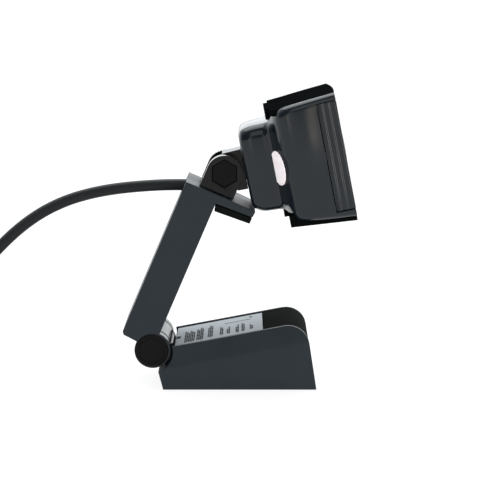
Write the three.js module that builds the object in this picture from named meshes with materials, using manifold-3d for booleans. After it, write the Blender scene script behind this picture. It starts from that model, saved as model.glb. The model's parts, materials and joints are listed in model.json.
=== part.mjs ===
// A small webcam on a folding clip stand, modelled in millimetres with +Z up and +X the way the camera faces.
// The origin is the centre of the foot's underside. The stand is a padded foot, an arm that folds on a barrel
// hinge at the foot's rear end, a swivelling clevis on the arm's top plate, and the camera head that tilts in it.
import * as THREE from "three";
import { mergeVertices } from "three/addons/utils/BufferGeometryUtils.js";
import Module from "manifold-3d";

const wasm = await Module();
wasm.setup();

// ---------------------------------------------------------------- driving dimensions

const GAP = 0.3; // between pieces that touch
const PAST = 1; // how far a cutting tool runs past the face it cuts
const ROUND = 32; // sides of a large round part
const SMALL_ROUND = 16; // sides of a pin, screw or washer

const FOOT = { length: 50, width: 32, wall: 2, endLean: 8.7, topSlope: 10.8, toeRadius: 7 };
const FOOT_TOP_START = [-21.4, 14.3]; // rear end of the foot's sloping top
const CREASE_DEPTH = 6.6; // how far below the top edge the side starts to lean in
const CREASE_LEAN = 10;
const PAD = { halfWidth: 13.6, thick: 1.8, toeBottom: 6 };
const FOOT_SCREWS = [-18.5, 17];
const LABEL = { rear: -21.4, front: 7.4, near: -13.3, far: 11.6, thick: 0.25, below: 0.6 };

const BARREL = [-28.8, 12.5];
const BARREL_RADIUS = 6;
const SCOOP_RADIUS = 6.8;
const HEX_ACROSS = 9.4; // across the corners of the hinge's hexagonal pockets
const BOLT_RADIUS = 1.5;
const FOLD_STACK = { knuckle: 8.1, earIn: 9.2, earOut: 13 };
const TILT_STACK = { knuckle: 4.9, earIn: 5.9, earOut: 10 };

const ARM_LEAN = 23.2; // forward lean of the arm at rest
const ARM = { depth: 11.5, halfWidth: 13, wall: 1.6, bottom: 1.1, plateUnder: 53, top: 55.8 };
const ARM_SCREWS = [15, 43];
const LIP = { length: 12.9, drop: 0.3, endThick: 2, rubberRoot: 2.2, rubberEnd: 2 };
const SWIVEL_X = -1.1; // the swivel's axis, from the arm's inner face
const TILT_Z = 62.7; // the tilt axis above the barrel's axis, along the arm
const CLEVIS_RADIUS = 5.9;
const CABLE_EXIT_Z = 52.9;
const CORD_RADIUS = 1.9;

const HEAD_PITCH = 11.2; // how far the camera looks up at rest
const HEAD_LIFT = 0.5; // of the head's middle line over the tilt axis, along the arm
const HEAD_BACK = 6.5; // rear face of the housing, from the head's origin
const HEAD_FRONT = 38.8; // the front face's sides, and how far its middle bulges past them
const FRONT_BULGE = 0.8;
const CORE_HALF_WIDTH = 22; // the black wraparound cover
const CORE_WALL = 1.6;
const CORE_REAR = 17.6;
const CORE_PROUD = 2.3; // how far the cover stands out below the cheeks
const FLARE_LEAN = 19.5; // of the flare behind each cheek, from square across
const SIDE_TRIM = { rear: 32.8, bottom: -17.4, top: 17 };
const BOARD_SCREWS = [[15.8, 8.4], [-15.8, -8.4]];
const TONGUE_SCREWS = [2.6, -2.6];

const COIL = { x: -115, radius: 22.8, band: 11.5, height: 11.5 };
const PLUG = { y: 11, z: 15.9, tail: -127, back: -119, face: -98, tip: -86.4 };

const rad = THREE.MathUtils.degToRad;

// ---------------------------------------------------------------- shapes

function solid(geometry) {
  const bare = geometry.clone();
  bare.deleteAttribute("normal");
  bare.deleteAttribute("uv");
  const merged = mergeVertices(bare, 1e-4);
  const vertProperties = merged.attributes.position.array;
  const triVerts = new Uint32Array(merged.index.array);
  return new wasm.Manifold(new wasm.Mesh({ numProp: 3, vertProperties, triVerts }));
}

function geometryOf(body) {
  const { vertProperties, triVerts } = body.getMesh();
  const geometry = new THREE.BufferGeometry();
  geometry.setAttribute("position", new THREE.Float32BufferAttribute(vertProperties, 3));
  geometry.setIndex(new THREE.Uint32BufferAttribute(triVerts, 1));
  const faceted = geometry.toNonIndexed();
  faceted.computeVertexNormals();
  return faceted;
}

const fuse = (...shapes) => geometryOf(shapes.map(solid).reduce((a, b) => a.add(b)));
const carve = (shape, ...tools) =>
  geometryOf(tools.map(solid).reduce((a, b) => a.subtract(b), solid(shape)));

const outlineOf = (points) => new THREE.Shape(points.map(([a, b]) => new THREE.Vector2(a, b)));

function box([x0, x1], [y0, y1], [z0, z1]) {
  const made = new THREE.BoxGeometry(x1 - x0, y1 - y0, z1 - z0);
  return made.translate((x0 + x1) / 2, (y0 + y1) / 2, (z0 + z1) / 2);
}

// An outline of [x, z] points carried across Y from near to far.
function slab(points, near, far) {
  const made = new THREE.ExtrudeGeometry(outlineOf(points), { depth: far - near, bevelEnabled: false });
  return made.rotateX(Math.PI / 2).translate(0, far, 0);
}

// An outline of [x, y] points carried up Z.
function column(points, bottom, top) {
  const made = new THREE.ExtrudeGeometry(outlineOf(points), { depth: top - bottom, bevelEnabled: false });
  return made.translate(0, 0, bottom);
}

// Round rods along each axis, from one end to the other.
function rodY(radius, near, far, [x, z] = [0, 0], sides = SMALL_ROUND) {
  return new THREE.CylinderGeometry(radius, radius, far - near, sides).translate(x, (near + far) / 2, z);
}

function rodX(radius, back, front, [y, z] = [0, 0], sides = SMALL_ROUND) {
  const made = new THREE.CylinderGeometry(radius, radius, front - back, sides);
  return made.rotateZ(-Math.PI / 2).translate((back + front) / 2, y, z);
}

function rodZ(radius, bottom, top, [x, y] = [0, 0], sides = SMALL_ROUND) {
  const made = new THREE.CylinderGeometry(radius, radius, top - bottom, sides);
  return made.rotateX(Math.PI / 2).translate(x, y, (bottom + top) / 2);
}

// A hexagonal rod along Y with a corner turned up by the given angle.
function hexY(across, near, far, turn, [x, z] = [0, 0]) {
  const made = new THREE.CylinderGeometry(across / 2, across / 2, far - near, 6);
  return made.rotateY(rad(turn)).translate(x, (near + far) / 2, z);
}

function arc([cx, cz], radius, from, to, steps) {
  const points = [];
  for (let i = 0; i <= steps; i += 1) {
    const angle = rad(from + ((to - from) * i) / steps);
    points.push([cx + radius * Math.cos(angle), cz + radius * Math.sin(angle)]);
  }
  return points;
}

// A solid through rounded rectangles [x, half width, top, bottom, corner radius] set one behind another.
function loft(sections, cornerSteps = 3) {
  const ring = ([x, w, top, bottom, r]) => [
    ...arc([w - r, top - r], r, 0, 90, cornerSteps),
    ...arc([r - w, top - r], r, 90, 180, cornerSteps),
    ...arc([r - w, r - bottom], r, 180, 270, cornerSteps),
    ...arc([w - r, r - bottom], r, 270, 360, cornerSteps),
  ].map(([y, z]) => [x, y, z]);
  const rings = sections.map(ring);
  const count = rings[0].length;
  const last = (rings.length - 1) * count;
  const faces = [];
  for (let s = 0; s + 1 < rings.length; s += 1) {
    for (let i = 0; i < count; i += 1) {
      const a = s * count + i;
      const b = s * count + ((i + 1) % count);
      faces.push(a, b, a + count, b, b + count, a + count);
    }
  }
  for (let i = 1; i + 1 < count; i += 1) {
    faces.push(0, i + 1, i, last, last + i, last + i + 1);
  }
  const made = new THREE.BufferGeometry();
  made.setAttribute("position", new THREE.Float32BufferAttribute(rings.flat(2), 3));
  made.setIndex(faces);
  return made.toNonIndexed();
}

// A round section of eight sides carried along hand-set points.
function tube(points, radius, steps) {
  const path = new THREE.CatmullRomCurve3(points.map((p) => new THREE.Vector3(...p)));
  const section = outlineOf(arc([0, 0], radius, 0, 315, 7));
  return new THREE.ExtrudeGeometry(section, { steps, extrudePath: path, bevelEnabled: false });
}

// ---------------------------------------------------------------- materials

const paint = (color, roughness, metalness = 0) => () =>
  new THREE.MeshStandardMaterial({ color, roughness, metalness });
const satinGrey = paint(0x3a3f46, 0.45);
const glossGrey = paint(0x2d3137, 0.2);
const matteBlack = paint(0x161716, 0.6);
const glossBlack = paint(0x101112, 0.12);
const rubber = paint(0x1b1b1a, 0.85);
const steel = paint(0xb4b6b8, 0.3, 1);
const silverFilm = paint(0xa9adb0, 0.5);
const whiteFilm = paint(0xece8e8, 0.55);
const glass = paint(0x10151d, 0.03);
const boardGreen = paint(0x1d4a32, 0.5);
const cordBlack = paint(0x1c1e20, 0.5);

const part = new THREE.Group();
const arm = new THREE.Group();
const swivel = new THREE.Group();
const head = new THREE.Group();
arm.position.set(BARREL[0], 0, BARREL[1]);
arm.rotation.y = rad(ARM_LEAN);
swivel.position.set(SWIVEL_X, 0, TILT_Z);
head.position.set(SWIVEL_X, 0, TILT_Z + HEAD_LIFT);
head.rotation.y = -rad(ARM_LEAN + HEAD_PITCH);
part.add(arm);
arm.add(swivel);
arm.add(head);

function place(group, name, material, geometry) {
  const mesh = new THREE.Mesh(geometry, material());
  mesh.name = name;
  group.add(mesh);
}

// ---------------------------------------------------------------- screws and hinge hardware

// A pan-head screw along X: its head's face at x, its shaft running towards sign.
function screwX(x, sign, at, headRadius, headThick, shaftRadius, shaft) {
  const ends = (a, b) => (sign > 0 ? [x + a, x + b] : [x - b, x - a]);
  return fuse(
    rodX(headRadius, ...ends(0, headThick), at, 12),
    rodX(shaftRadius, ...ends(headThick / 2, headThick + shaft), at, 12),
  );
}

// The same along Z.
function screwZ(z, sign, at, headRadius, headThick, shaftRadius, shaft) {
  const ends = (a, b) => (sign > 0 ? [z + a, z + b] : [z - b, z - a]);
  return fuse(
    rodZ(headRadius, ...ends(0, headThick), at, 12),
    rodZ(shaftRadius, ...ends(headThick / 2, headThick + shaft), at, 12),
  );
}

// A bolt with its nut, two spring washers and two hexagonal caps, all on one axis along Y.
function hingeHardware(group, prefix, stack, turn) {
  const capOut = stack.earOut - 0.1;
  const capIn = capOut - 1;
  const headOut = capIn - GAP;
  const headIn = headOut - 1.1;
  const washerIn = stack.knuckle + GAP;
  const washerOut = stack.earIn - GAP;
  const capAcross = HEX_ACROSS - 2 * GAP;
  const boltHead = rodY(2.9, -headOut, -headIn);
  const bolt = rodY(BOLT_RADIUS, -headIn - 0.5, headOut, [0, 0], SMALL_ROUND);
  place(group, `${prefix}_bolt`, steel, fuse(boltHead, bolt));
  const nutBore = rodY(BOLT_RADIUS + GAP, headIn - PAST, headOut + PAST);
  place(group, `${prefix}_nut`, steel, carve(hexY(6.4, headIn, headOut, turn), nutBore));
  const washer = (near, far) =>
    carve(rodY(4.4, near, far), rodY(BOLT_RADIUS + GAP, near - PAST, far + PAST));
  place(group, `${prefix}_washer_near`, steel, washer(-washerOut, -washerIn));
  place(group, `${prefix}_washer_far`, steel, washer(washerIn, washerOut));
  place(group, `${prefix}_cap_near`, matteBlack, hexY(capAcross, -capOut, -capIn, turn));
  place(group, `${prefix}_cap_far`, matteBlack, hexY(capAcross, capIn, capOut, turn));
}

// The cuts that the hardware needs in the two ears: a bore through, and a hexagonal pocket on each side.
function hingeCuts(stack, turn, centre = [0, 0]) {
  const pocketIn = stack.earOut - 0.1 - 1 - GAP - 1.1 - GAP;
  return [
    rodY(BOLT_RADIUS + GAP, -stack.earOut - PAST, stack.earOut + PAST, centre),
    hexY(HEX_ACROSS, -stack.earOut - PAST, -pocketIn, turn, centre),
    hexY(HEX_ACROSS, pocketIn, stack.earOut + PAST, turn, centre),
  ];
}

// ---------------------------------------------------------------- foot

const topAlong = [Math.cos(rad(FOOT.topSlope)), Math.sin(rad(FOOT.topSlope))];
const topIn = [topAlong[1], -topAlong[0]];
const endUp = [-Math.sin(rad(FOOT.endLean)), Math.cos(rad(FOOT.endLean))];
const endIn = [-endUp[1], endUp[0]];
const halfLength = FOOT.length / 2;

// The point on the foot's top, or on its end wall, this far inside the surface.
function onTop(x, inset) {
  const along = (x - FOOT_TOP_START[0]) / topAlong[0];
  return [0, 1].map((i) => FOOT_TOP_START[i] + along * topAlong[i] + inset * topIn[i]);
}
const onEnd = (z, inset) => [halfLength + (z / endUp[1]) * endUp[0] + inset * endIn[0], z + inset * endIn[1]];

// Where the rounded toe's centre lies, the toe radius inside both the top and the end wall.
function toeCentre() {
  const [ax, az] = onTop(0, FOOT.toeRadius);
  const [bx, bz] = onEnd(0, FOOT.toeRadius);
  const cross = topAlong[0] * endUp[1] - topAlong[1] * endUp[0];
  const along = ((bx - ax) * endUp[1] - (bz - az) * endUp[0]) / cross;
  return [ax + along * topAlong[0], az + along * topAlong[1]];
}

// The foot's upper edge from the given rear point round the toe and down to the given height.
function upperEdge(rear, bottom, inset) {
  const toe = arc(toeCentre(), FOOT.toeRadius - inset, 90 + FOOT.topSlope, FOOT.endLean, 8);
  return [onTop(rear, inset), ...toe, onEnd(bottom, inset)];
}

// A tool that leans the foot's side in above the crease, on the side of the given sign.
function sideLean(sign) {
  const made = new THREE.BoxGeometry(3 * FOOT.length, 20, 40);
  made.translate(0, sign * 10, 20);
  made.rotateX(sign * rad(CREASE_LEAN));
  made.rotateY(-rad(FOOT.topSlope));
  const [x, z] = onTop(0, CREASE_DEPTH);
  return made.translate(x, (sign * FOOT.width) / 2, z);
}

function footShell() {
  const halfWidth = FOOT.width / 2;
  const rearWall = [[-27.4, 8.1], [-25.3, 0]];
  const outline = [[halfLength, 0], ...upperEdge(-24.5, 0.1, 0).reverse(), ...rearWall];
  const block = slab(outline, -halfWidth, halfWidth);
  const scoop = rodY(SCOOP_RADIUS, -halfWidth - PAST, halfWidth + PAST, BARREL, ROUND);
  const knuckle = rodY(BARREL_RADIUS, -FOLD_STACK.knuckle, FOLD_STACK.knuckle, BARREL, ROUND);
  const neckOutline = [BARREL, [-26.8, 7.1], [-20, 6], [-18, 13], onTop(-21.9, 0.2)];
  const neck = slab(neckOutline, -FOLD_STACK.knuckle, FOLD_STACK.knuckle);
  const hollowOutline = [
    [-22.6, -PAST], [22.8, -PAST], [22.8, 1.8], [20.9, 6], [19, 13.4], [13.6, 16.8], [-19.4, 10.4], [-22.6, 5],
  ];
  const hollow = slab(hollowOutline, FOOT.wall - halfWidth, halfWidth - FOOT.wall);
  const recessOut = upperEdge(-22.4, PAD.toeBottom - GAP, -2);
  const recessIn = upperEdge(-22.4, PAD.toeBottom - GAP, PAD.thick + GAP);
  const recess = slab([...recessOut, ...recessIn.reverse()], -PAD.halfWidth - GAP, PAD.halfWidth + GAP);
  const cleared = carve(block, scoop, sideLean(-1), sideLean(1));
  const posts = FOOT_SCREWS.map((x) => rodZ(2.6, 1.8, x < 0 ? 11 : 15.4, [x, 0]));
  const pilots = FOOT_SCREWS.map((x) => rodZ(0.8 + GAP, 1, 8, [x, 0]));
  const boltBore = rodY(BOLT_RADIUS + GAP, -halfWidth, halfWidth, BARREL);
  return carve(fuse(carve(fuse(cleared, knuckle, neck), recess, hollow), ...posts), ...pilots, boltBore);
}

function footPad() {
  const top = upperEdge(LABEL.rear, PAD.toeBottom, 0.1);
  const under = upperEdge(LABEL.rear, PAD.toeBottom, PAD.thick);
  const whole = slab([...top, ...under.reverse()], -PAD.halfWidth, PAD.halfWidth);
  const front = LABEL.front + GAP;
  const bedOutline = [onTop(-40, -2), onTop(front, -2), onTop(front, LABEL.below), onTop(-40, LABEL.below)];
  return carve(whole, slab(bedOutline, -PAD.halfWidth - PAST, LABEL.far + GAP));
}

function footParts() {
  const label = [
    onTop(LABEL.rear, LABEL.below - GAP - LABEL.thick), onTop(LABEL.front, LABEL.below - GAP - LABEL.thick),
    onTop(LABEL.front, LABEL.below - GAP), onTop(LABEL.rear, LABEL.below - GAP),
  ];
  place(part, "foot_shell", satinGrey, footShell());
  place(part, "foot_pad", rubber, footPad());
  place(part, "foot_label", silverFilm, slab(label, LABEL.near, LABEL.far));
  const screwsAt = FOOT_SCREWS.map((x) => [x, 0]);
  const sinks = screwsAt.map((at) => rodZ(2.2 + GAP, -PAST, 0.9 + GAP, at));
  const holes = screwsAt.map((at) => rodZ(0.8 + GAP, -PAST, 3, at));
  const plate = box([-22.3, 22.5], [-13.7, 13.7], [0, 1.5]);
  place(part, "foot_bottom_plate", satinGrey, carve(plate, ...sinks, ...holes));
  screwsAt.forEach((at, i) => {
    const screw = screwZ(0.1, 1, at, 2.2, 0.8, 0.8, 5.6);
    place(part, `foot_screw_${i + 1}`, steel, screw);
  });
  place(part, "foot_weight", steel, box([-14.5, 13], [-12, 12], [2, 8]));
}

// ---------------------------------------------------------------- arm, in the arm's own frame

const lipTopEnd = [LIP.length, ARM.top - LIP.drop];
const lipUnderEnd = [LIP.length - 0.2, ARM.top - LIP.drop - LIP.endThick];

function armShell() {
  const side = [
    [0, 0], [0, ARM.plateUnder], lipUnderEnd, lipTopEnd, [5.5, ARM.top], [-ARM.depth, ARM.top],
    [-ARM.depth, ARM.bottom + 0.9], [0.7 - ARM.depth, ARM.bottom], [-6.2, 0.7],
  ];
  const body = slab(side, -ARM.halfWidth, ARM.halfWidth);
  const ears = rodY(BARREL_RADIUS, -ARM.halfWidth, ARM.halfWidth, [0, 0], ROUND);
  const knuckleRoom = rodY(BARREL_RADIUS + 0.6, -FOLD_STACK.earIn, FOLD_STACK.earIn, [0, 0], ROUND);
  const inner = ARM.wall - ARM.depth;
  const innerHalf = ARM.halfWidth - 1.8;
  const hollow = box([inner, PAST], [-innerHalf, innerHalf], [8.4, 49.9]);
  const upper = box([inner, -0.3], [-innerHalf, innerHalf], [49, ARM.plateUnder]);
  const cableRoom = box([inner, -5.4], [-innerHalf, innerHalf], [49, ARM.top - 1.6]);
  const exit = rodX(2.5, -ARM.depth - PAST, inner + PAST, [0, CABLE_EXIT_Z]);
  const swivelBore = rodZ(3.3, 50, ARM.top + PAST, [SWIVEL_X, 0]);
  const clipRoom = rodZ(4.7, 50, ARM.plateUnder + 0.5, [SWIVEL_X, 0]);
  const washerBed = rodZ(5.3, ARM.top - 0.8, ARM.top + PAST, [SWIVEL_X, 0]);
  const hinge = hingeCuts(FOLD_STACK, -ARM_LEAN);
  const cuts = [knuckleRoom, hollow, upper, cableRoom, exit, swivelBore, clipRoom, washerBed, ...hinge];
  const posts = ARM_SCREWS.map((z) => rodX(2.6, inner - 0.5, -1.9, [0, z]));
  const pilots = ARM_SCREWS.map((z) => rodX(0.8 + GAP, -8, PAST, [0, z]));
  return carve(fuse(carve(fuse(body, ears), ...cuts), ...posts), ...pilots);
}

function armCover() {
  const half = ARM.halfWidth - 1.8 - GAP;
  const plate = box([-1.6, 0], [-half, half], [8.7, 49.6]);
  const clip = rodZ(4.7 + GAP, 48.4, 52, [SWIVEL_X, 0]);
  const sinks = ARM_SCREWS.map((z) => rodX(2.2 + GAP, -0.9 - GAP, PAST, [0, z]));
  const holes = ARM_SCREWS.map((z) => rodX(0.8 + GAP, -4, PAST, [0, z]));
  return carve(plate, clip, ...sinks, ...holes);
}

function armParts() {
  place(arm, "arm_shell", satinGrey, armShell());
  place(arm, "arm_cover", satinGrey, armCover());
  ARM_SCREWS.forEach((z, i) => {
    const screw = screwX(-0.1, -1, [0, z], 2.2, 0.8, 0.8, 5.6);
    place(arm, `arm_screw_${i + 1}`, steel, screw);
  });
  const rubberOutline = [
    [0.3, ARM.plateUnder - GAP], [0.5, ARM.plateUnder - GAP - LIP.rubberRoot],
    [lipUnderEnd[0], lipUnderEnd[1] - GAP - LIP.rubberEnd], [lipUnderEnd[0], lipUnderEnd[1] - GAP],
  ];
  const clipRoom = rodZ(5, ARM.plateUnder - 1.3, ARM.plateUnder + PAST, [SWIVEL_X, 0]);
  const rubberPad = slab(rubberOutline, -ARM.halfWidth, ARM.halfWidth);
  place(arm, "lip_pad", rubber, carve(rubberPad, clipRoom));
  const wallIn = ARM.wall - ARM.depth;
  const at = [0, CABLE_EXIT_Z];
  const sleeve = carve(rodX(2.2, 0.1 - ARM.depth, wallIn + 0.6, at), rodX(1.95, -14, -8, at));
  place(arm, "cable_grommet", rubber, sleeve);
  const lead = [
    [-10.4, 0, CABLE_EXIT_Z], [-8.4, 0, 51.8], [-6.4, 0, 49.4], [-4.2, 0, 48.4], [-2.2, 0, 49.9],
    [SWIVEL_X, 0, 52.6],
  ];
  place(arm, "inner_lead", cordBlack, tube(lead, 1, 14));
}

// ---------------------------------------------------------------- swivel, in a frame on the tilt axis

const plateTop = ARM.top - TILT_Z;

function clevis() {
  const half = TILT_STACK.earOut;
  const foot = plateTop + GAP;
  const sides = [[-CLEVIS_RADIUS, foot], [CLEVIS_RADIUS, foot]];
  const ear = slab([...sides, ...arc([0, 0], CLEVIS_RADIUS, 0, 180, 16)], -half, half);
  const slot = box([-10, 10], [-TILT_STACK.earIn, TILT_STACK.earIn], [foot + 1.1, 10]);
  const shaft = fuse(
    rodZ(3, foot - 2.6, foot + 0.6),
    rodZ(2.6, foot - 3.7, foot - 2.4),
    rodZ(3, foot - 4.1, foot - 3.6),
  );
  const bore = rodZ(1.7, foot - 8, foot + 3);
  return carve(fuse(carve(ear, slot), shaft), bore, ...hingeCuts(TILT_STACK, -ARM_LEAN));
}

// The open ring that holds the hollow shaft under the plate.
function swivelClip() {
  const top = plateTop + GAP - 2.9;
  const ring = carve(rodZ(4.3, top - 0.4, top), rodZ(2.6 + GAP, top - PAST, top + PAST));
  return carve(ring, box([-6, 0], [-1.6, 1.6], [top - PAST, top + PAST]));
}

function swivelParts() {
  place(swivel, "swivel_clevis", matteBlack, clevis());
  place(swivel, "swivel_clip", steel, swivelClip());
  const washerTop = plateTop - 0.05;
  const washer = carve(rodZ(5, washerTop - 0.4, washerTop), rodZ(3.4, washerTop - PAST, washerTop + PAST));
  place(swivel, "swivel_washer", steel, washer);
  hingeHardware(swivel, "tilt", TILT_STACK, -ARM_LEAN);
}

// ---------------------------------------------------------------- camera head, in its own frame on the tilt axis

// Rounded sections of the head's outside: a small rear housing that flares into the wide front.
const OUTSIDE = [
  [HEAD_BACK, 12.4, 10.8, 12.4, 3.2], [7.3, 13.8, 12.3, 13.3, 3.6], [8.3, 14.2, 12.8, 14, 3.8],
  [9.6, 14.5, 13.1, 14.6, 4], [11, 14.6, 13.3, 14.9, 4], [15, 14.8, 13.4, 15.1, 4], [16.6, 15.8, 13.9, 15.3, 4],
  [17.6, 18.6, 15.2, 16.1, 4], [18.8, 22, 16.7, 17.2, 3.6], [20.4, 24.1, 17.6, 18.2, 3],
  [23, 24.9, 18.1, 18.7, 2.6], [28, 25.2, 18.6, 19.3, 2.4], [HEAD_FRONT, 24.7, 19.5, 20.3, 2.4],
];
// The same for the hollow inside, open at the front.
const INSIDE = [
  [HEAD_BACK + 1.7, 12.4, 11.1, 11.3, 2.6], [15.6, 13, 11.6, 11.7, 2.6], [17.6, 14.4, 12, 12, 2.6],
  [19.4, 19.4, 13.4, 13.4, 2.4], [21.4, 22.6, 14.8, 14.8, 2], [23.6, 23.3, 15.2, 15.2, 1.6],
  [HEAD_FRONT + PAST, 23.1, 16.2, 16.4, 1.6],
];

const coverTop = (x) => 17.7 + ((x - CORE_REAR) / (HEAD_FRONT - CORE_REAR)) * 1.8;
const mirrorZ = (points) => points.map(([x, z]) => [x, -z]).reverse();

// One of the wraparound cover's two arms in side view, as an upper one, grown by the given margin.
function coverArm(grow, proud = 0) {
  const under = (x) => coverTop(x) - CORE_WALL - grow;
  const end = HEAD_FRONT + FRONT_BULGE + grow;
  return [
    [CORE_REAR - grow, under(CORE_REAR)], [end, under(HEAD_FRONT)],
    [end, coverTop(HEAD_FRONT) + proud + grow], [CORE_REAR - grow, coverTop(CORE_REAR) + proud + grow],
  ];
}

// A tool that gives the cover its bulging front.
function frontCurve() {
  const rise = (y) => HEAD_FRONT + FRONT_BULGE * (1 - (y / CORE_HALF_WIDTH) ** 2);
  const curve = [];
  for (let i = 0; i <= 12; i += 1) {
    const y = CORE_HALF_WIDTH * (i / 6 - 1);
    curve.push([rise(y), y]);
  }
  const wide = CORE_HALF_WIDTH + PAST;
  const deep = HEAD_FRONT + 4;
  const outline = [[HEAD_FRONT, -wide], [deep, -wide], [deep, wide], [HEAD_FRONT, wide], ...curve.reverse()];
  return column(outline, -30, 30);
}

function rearShell() {
  const half = CORE_HALF_WIDTH + GAP;
  const beds = [coverArm(GAP), mirrorZ(coverArm(GAP, CORE_PROUD))].map((points) => slab(points, -half, half));
  const lips = [1, -1].map((sign) => {
    const heights = sign > 0 ? [14, 22] : [-22, -14];
    return box([15.9, 17.9], [-12.3, 12.3], heights);
  });
  const trims = [-1, 1].map((sign) => {
    const widths = sign > 0 ? [22.3, 30] : [-30, -22.3];
    return box([SIDE_TRIM.rear - GAP, 50], widths, [SIDE_TRIM.bottom - GAP, SIDE_TRIM.top + GAP]);
  });
  const opening = box([HEAD_FRONT - CORE_WALL - 0.2, 50], [-half, half], [-30, 30]);
  const neck = box([0, 12], [-4.6, 4.6], [-4.6, 4.6]);
  const bosses = BOARD_SCREWS.map((at) => rodX(2.2, 17, 20.4, at));
  const pilots = BOARD_SCREWS.map((at) => rodX(1.1, 17.6, 22, at));
  const shell = carve(loft(OUTSIDE), loft(INSIDE), opening, ...beds, ...lips, ...trims, neck);
  return carve(fuse(shell, ...bosses), ...pilots);
}

function frontCover() {
  const half = CORE_HALF_WIDTH;
  const upper = slab(coverArm(0), -half, half);
  const lower = slab(mirrorZ(coverArm(0, CORE_PROUD)), -half, half);
  const face = box([HEAD_FRONT - 1.5, HEAD_FRONT + FRONT_BULGE], [-half, half], [-19, 19]);
  const lips = [1, -1].map((sign) => {
    const heights = sign > 0 ? [14.3, 17.8] : [-17.8, -14.3];
    return box([16.2, 17.6], [-12, 12], heights);
  });
  const lipTops = [1, -1].map((sign) => {
    const heights = sign > 0 ? [16.4, 17.8] : [-17.8, -16.4];
    return box([16.2, 19], [-12, 12], heights);
  });
  const lensHole = rodX(9.8, 30, 45, [0, 0], ROUND);
  const soundHoles = [-1, 0, 1].map((i) => rodX(0.6, 30, 45, [17, i * 2.4], 8));
  const lightHole = rodX(1.3, 30, 45, [-17, 0], 12);
  const whole = fuse(upper, lower, face, ...lips, ...lipTops);
  return carve(whole, frontCurve(), lensHole, lightHole, ...soundHoles);
}

// The panel let into each cheek beside the front, which turns the corner onto the front face.
function sideTrim(sign) {
  const skin = (x) => 25.1 - ((x - 28) / (HEAD_FRONT - 28)) * 0.5;
  const front = HEAD_FRONT + 0.1;
  const outline = [
    [SIDE_TRIM.rear, skin(SIDE_TRIM.rear) - 1.3], [SIDE_TRIM.rear, skin(SIDE_TRIM.rear)],
    [front - 0.8, skin(front)], [front, skin(front) - 0.8], [front, 22.6], [front - 1.4, 22.6],
    [front - 1.4, 23.4], [35, 23.4],
  ];
  const sided = outline.map(([x, y]) => [x, y * sign]);
  return column(sign > 0 ? sided.reverse() : sided, SIDE_TRIM.bottom, SIDE_TRIM.top);
}

function tongue() {
  const half = TILT_STACK.knuckle;
  const lean = rad(ARM_LEAN + HEAD_PITCH);
  const axis = [-HEAD_LIFT * Math.sin(lean), -HEAD_LIFT * Math.cos(lean)];
  const back = HEAD_BACK - GAP;
  const root = [[0, 5.6], [0, -5], [3, -7.4], [back, -7.4], [back, 5.9]];
  const eye = rodY(5, -half, half, axis, ROUND);
  const spigot = box([back - 1, 9], [-4.3, 4.3], [-4.3, 4.3]);
  const screwHoles = TONGUE_SCREWS.map((z) => rodX(0.7 + GAP, 3.8, 12, [0, z], 12));
  const leadWay = box([-1, 12], [1.6, 3.2], [-9, -3.2]);
  const bore = rodY(BOLT_RADIUS + GAP, -half - PAST, half + PAST, axis);
  return carve(fuse(eye, slab(root, -half, half), spigot), bore, leadWay, ...screwHoles);
}

function lensParts() {
  const ringFace = HEAD_FRONT + FRONT_BULGE + 0.1;
  const bezel = carve(rodX(9.5, ringFace - 2.6, ringFace, [0, 0], ROUND), rodX(7.4, 30, 45, [0, 0], ROUND));
  place(head, "lens_ring", glossBlack, bezel);
  place(head, "lens_window", glass, rodX(7.1, ringFace - 1.6, ringFace - 0.6, [0, 0], ROUND));
  const barrel = fuse(rodX(4, 25.2, 32, [0, 0], 24), rodX(5.6, 31, 36.2, [0, 0], 24));
  place(head, "lens_barrel", matteBlack, carve(barrel, rodX(2.4, 24, 40, [0, 0], 20)));
  place(head, "lens_glass", glass, rodX(2.1, 33, 35.4, [0, 0], 20));
  const mountBlock = box([22.3, 30.4], [-6.5, 6.5], [-6.5, 6.5]);
  const sensorRoom = box([20, 24], [-4.3, 4.3], [-4.3, 4.3]);
  place(head, "lens_mount", matteBlack, carve(mountBlock, rodX(4.3, 20, 40, [0, 0], 24), sensorRoom));
  place(head, "image_sensor", glossBlack, box([22.3, 23.2], [-3.6, 3.6], [-3.3, 3.3]));
}

function headParts() {
  place(head, "head_tongue", matteBlack, tongue());
  const clampPlate = box([9.5, 10.7], [-5.6, 5.6], [-6.4, 6.4]);
  const clampHoles = TONGUE_SCREWS.map((z) => rodX(0.7 + GAP, 8, 12, [0, z], 12));
  place(head, "tongue_clamp", steel, carve(clampPlate, ...clampHoles));
  TONGUE_SCREWS.forEach((z, i) => {
    place(head, `tongue_screw_${i + 1}`, steel, screwX(12.1, -1, [0, z], 1.5, 1, 0.7, 6));
  });
  place(head, "head_rear_shell", glossGrey, rearShell());
  place(head, "head_front_cover", matteBlack, frontCover());
  place(head, "side_trim_near", glossGrey, sideTrim(-1));
  place(head, "side_trim_far", glossGrey, sideTrim(1));
  lensParts();
  const boardHoles = BOARD_SCREWS.map((at) => rodX(1.1, 19, 24, at));
  const board = box([20.7, 22], [-19, 19], [-12.6, 12.6]);
  place(head, "main_board", boardGreen, carve(board, ...boardHoles));
  BOARD_SCREWS.forEach((at, i) => {
    place(head, `board_screw_${i + 1}`, steel, screwX(23.3, -1, at, 1.8, 1, 0.8, 4));
  });
  place(head, "lead_connector", whiteFilm, box([15.6, 20.4], [4.2, 11], [-9.6, -6]));
  place(head, "microphone", steel, rodX(3, 32.8, 36.4, [17, 0], SMALL_ROUND));
  const pipe = fuse(rodX(1, 34, HEAD_FRONT + 0.3, [-17, 0], 12), rodX(2.2, 32.6, 34.6, [-17, 0], 12));
  place(head, "light_pipe", whiteFilm, pipe);
}

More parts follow.
